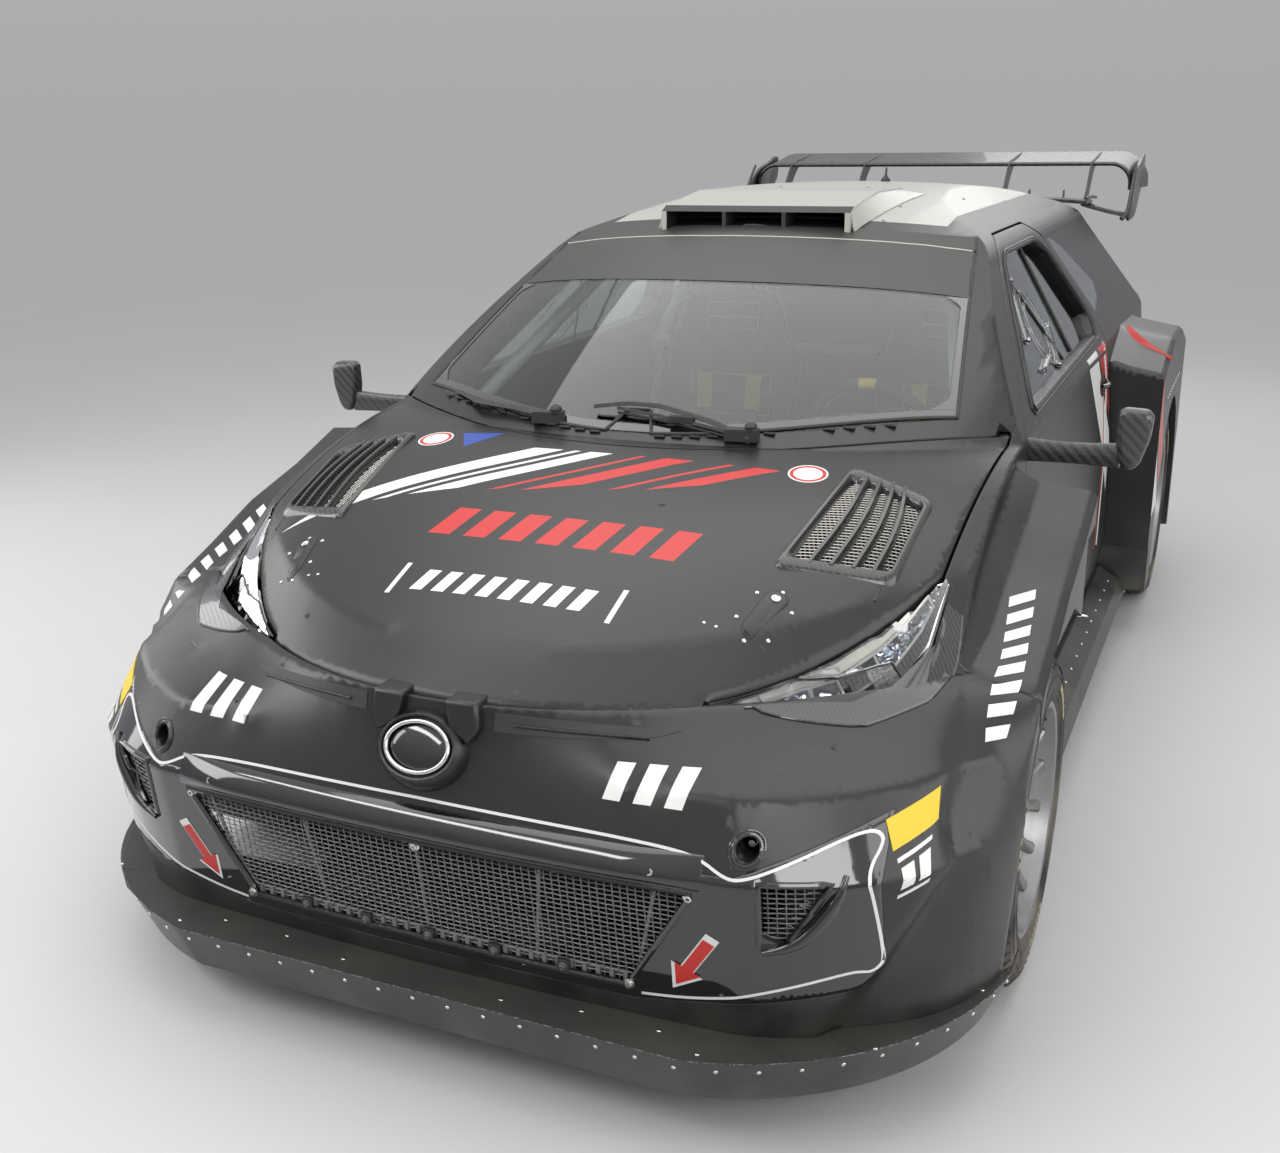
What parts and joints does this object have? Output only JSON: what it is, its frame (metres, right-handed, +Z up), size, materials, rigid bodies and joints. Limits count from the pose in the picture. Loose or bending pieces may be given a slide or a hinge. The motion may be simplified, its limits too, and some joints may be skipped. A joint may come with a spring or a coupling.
{
  "type": "rally car",
  "caption": "Low four-wheel-drive rally car with wide wings, mesh grille, deep splitter, roof scoop, tall rear wing, opening doors, bonnet and tailgate, and steered front wheels.",
  "frame": {"origin": "on the ground under the centre of the car's bounding box", "axes": "+Y runs from the nose to the tail, +X to the car's left side, +Z up"},
  "size_m": [2.044, 4.225, 1.469],
  "materials": {
    "body_paint": "satin black",
    "gloss_black": "gloss",
    "white_paint": "gloss",
    "carbon": "woven carbon",
    "dark_plastic": "matt",
    "mesh": "woven wire",
    "clear_glass": "clear",
    "lamp": "clear lens",
    "red_lamp": "gloss",
    "tyre": "matt",
    "rim": "satin",
    "steel": "satin",
    "cage": "satin grey",
    "alloy": "cast",
    "seat_fabric": "woven"
  },
  "bodies": {
    "car_body": {"body_shell": "body_paint", "floor_pan": "body_paint", "roof_panel": "white_paint", "roof_scoop": "white_paint", "front_bumper": "body_paint", "front_insert": "gloss_black", "grille": "mesh", "front_splitter": "dark_plastic", "headlamps": "lamp", "front_wings": "body_paint", "windscreen": "clear_glass", "quarter_glass": "clear_glass", "rear_quarters": "body_paint", "rear_bumper": "body_paint", "tail_lamps": "red_lamp", "side_skirts": "body_paint", "undertray": "dark_plastic", "roll_cage": "cage", "seats": "seat_fabric", "dashboard": "dark_plastic", "engine_block": "alloy", "radiator": "alloy", "front_axle": "steel", "rear_axle": "steel"},
    "bonnet_lid": {"bonnet": "body_paint", "bonnet_vents": "carbon"},
    "tailgate_lid": {"tailgate": "body_paint", "rear_glass": "clear_glass", "rear_wing": "carbon"},
    "steering_wheel_body": {"steering_wheel": "dark_plastic"},
    "rack": {"steering_rack": "steel"},
    "door_left_body": {"door_left": "body_paint", "door_glass_left": "clear_glass", "mirror_left": "carbon"},
    "knuckle_left": {"front_knuckle_left": "steel"},
    "wheel_front_left": {"front_wheel_left": "rim", "front_tyre_left": "tyre"},
    "wheel_rear_left": {"rear_wheel_left": "rim", "rear_tyre_left": "tyre"},
    "door_right_body": {"door_right": "body_paint", "door_glass_right": "clear_glass", "mirror_right": "carbon"},
    "knuckle_right": {"front_knuckle_right": "steel"},
    "wheel_front_right": {"front_wheel_right": "rim", "front_tyre_right": "tyre"},
    "wheel_rear_right": {"rear_wheel_right": "rim", "rear_tyre_right": "tyre"}
  },
  "joints": [
    {"name": "steer_left", "type": "hinge", "parent": "car_body", "child": "knuckle_left", "pos_m": [0.735, -1.302, 0.18], "axis": [-0.1854, 0, 0.9827], "range_deg": [-30, 30]},
    {"name": "steer_right", "type": "hinge", "parent": "car_body", "child": "knuckle_right", "pos_m": [-0.735, -1.302, 0.18], "axis": [0.1854, 0, 0.9827], "range_deg": [-30, 30]},
    {"name": "rack_slide", "type": "slide", "parent": "car_body", "child": "rack", "axis": [1, 0, 0], "range_m": [-0.06, 0.06]},
    {"name": "steering_wheel_turn", "type": "hinge", "parent": "car_body", "child": "steering_wheel_body", "pos_m": [0.345, -0.47, 0.83], "axis": [0, 0.935, 0.3547], "range_deg": [-260, 260]},
    {"name": "door_left_hinge", "type": "hinge", "parent": "car_body", "child": "door_left_body", "pos_m": [0.798, -0.779, 0.5], "axis": [0, 0, -1], "range_deg": [0, 55]},
    {"name": "door_right_hinge", "type": "hinge", "parent": "car_body", "child": "door_right_body", "pos_m": [-0.798, -0.779, 0.5], "axis": [0, 0, 1], "range_deg": [0, 55]},
    {"name": "bonnet_hinge", "type": "hinge", "parent": "car_body", "child": "bonnet_lid", "pos_m": [0, -0.806, 0.956], "axis": [-1, 0, 0], "range_deg": [0, 50]},
    {"name": "tailgate_hinge", "type": "hinge", "parent": "car_body", "child": "tailgate_lid", "pos_m": [0, 1.4, 1.346], "axis": [1, 0, 0], "range_deg": [0, 70]},
    {"name": "wheel_front_left_spin", "type": "hinge", "parent": "knuckle_left", "child": "wheel_front_left", "pos_m": [0.8075, -1.302, 0.322], "axis": [1, 0, 0], "continuous": true},
    {"name": "wheel_rear_left_spin", "type": "hinge", "parent": "car_body", "child": "wheel_rear_left", "pos_m": [0.8075, 1.328, 0.322], "axis": [1, 0, 0], "continuous": true},
    {"name": "wheel_front_right_spin", "type": "hinge", "parent": "knuckle_right", "child": "wheel_front_right", "pos_m": [-0.8075, -1.302, 0.322], "axis": [1, 0, 0], "continuous": true},
    {"name": "wheel_rear_right_spin", "type": "hinge", "parent": "car_body", "child": "wheel_rear_right", "pos_m": [-0.8075, 1.328, 0.322], "axis": [1, 0, 0], "continuous": true}
  ],
  "couplings": [
    {"joint": "steer_right", "follows": "steer_left", "ratio": 1},
    {"joint": "rack_slide", "follows": "steer_left", "m_per_rad": -0.11},
    {"joint": "steering_wheel_turn", "follows": "steer_left", "ratio": 8.5}
  ]
}
